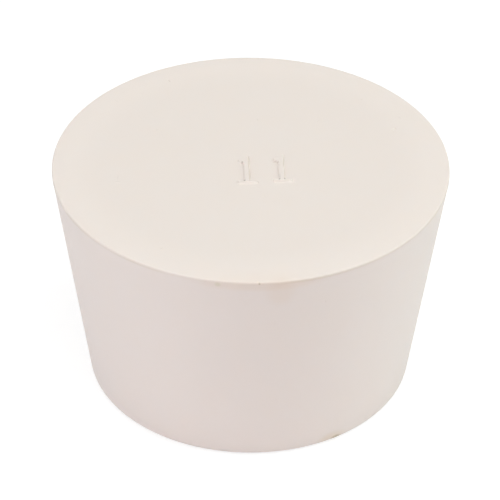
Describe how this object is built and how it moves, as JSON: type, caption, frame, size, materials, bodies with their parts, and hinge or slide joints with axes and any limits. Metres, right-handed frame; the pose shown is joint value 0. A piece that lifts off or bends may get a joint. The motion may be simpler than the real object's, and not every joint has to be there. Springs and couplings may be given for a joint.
{
  "type": "rubber stopper",
  "caption": "Solid tapered rubber stopper that closes a flask or tube neck, wider at the top, moulded in one piece.",
  "frame": {"origin": "centre of the small end's flat face, which the stopper stands on", "axes": "+Z along the stopper's axis from the small end to the big end, -Y towards the viewer"},
  "size_m": [0.056, 0.056, 0.034],
  "materials": {
    "white_rubber": "matte"
  },
  "bodies": {
    "root": {"stopper": "white_rubber"}
  },
  "joints": []
}
